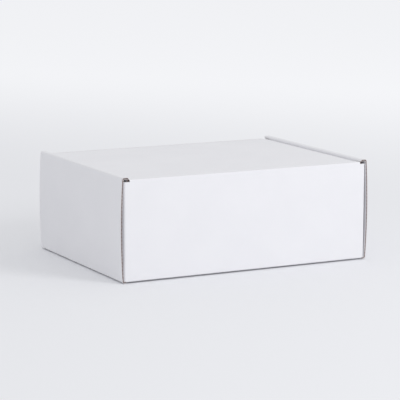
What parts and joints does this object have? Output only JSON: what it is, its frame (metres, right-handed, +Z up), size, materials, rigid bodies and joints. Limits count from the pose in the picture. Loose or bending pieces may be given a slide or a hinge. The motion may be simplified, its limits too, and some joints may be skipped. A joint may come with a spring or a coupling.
{
  "type": "corrugated mailer box",
  "caption": "Low rectangular mailer box of folded white corrugated board, with rolled double side walls and a hinged tuck-front lid.",
  "frame": {"origin": "middle of the underside", "axes": "+X along the box, +Y towards the creased back wall, +Z up; the tuck front faces -Y"},
  "size_m": [0.2552, 0.184, 0.095],
  "materials": {
    "white_board": "matt white liner with raw brown edges"
  },
  "bodies": {
    "tray": {"tray": "white_board"},
    "lid": {"lid": "white_board"}
  },
  "joints": [
    {"name": "lid_hinge", "type": "hinge", "parent": "tray", "child": "lid", "pos_m": [0, 0.09125, 0.09205], "axis": [-1, 0, 0], "range_deg": [0, 180]}
  ]
}
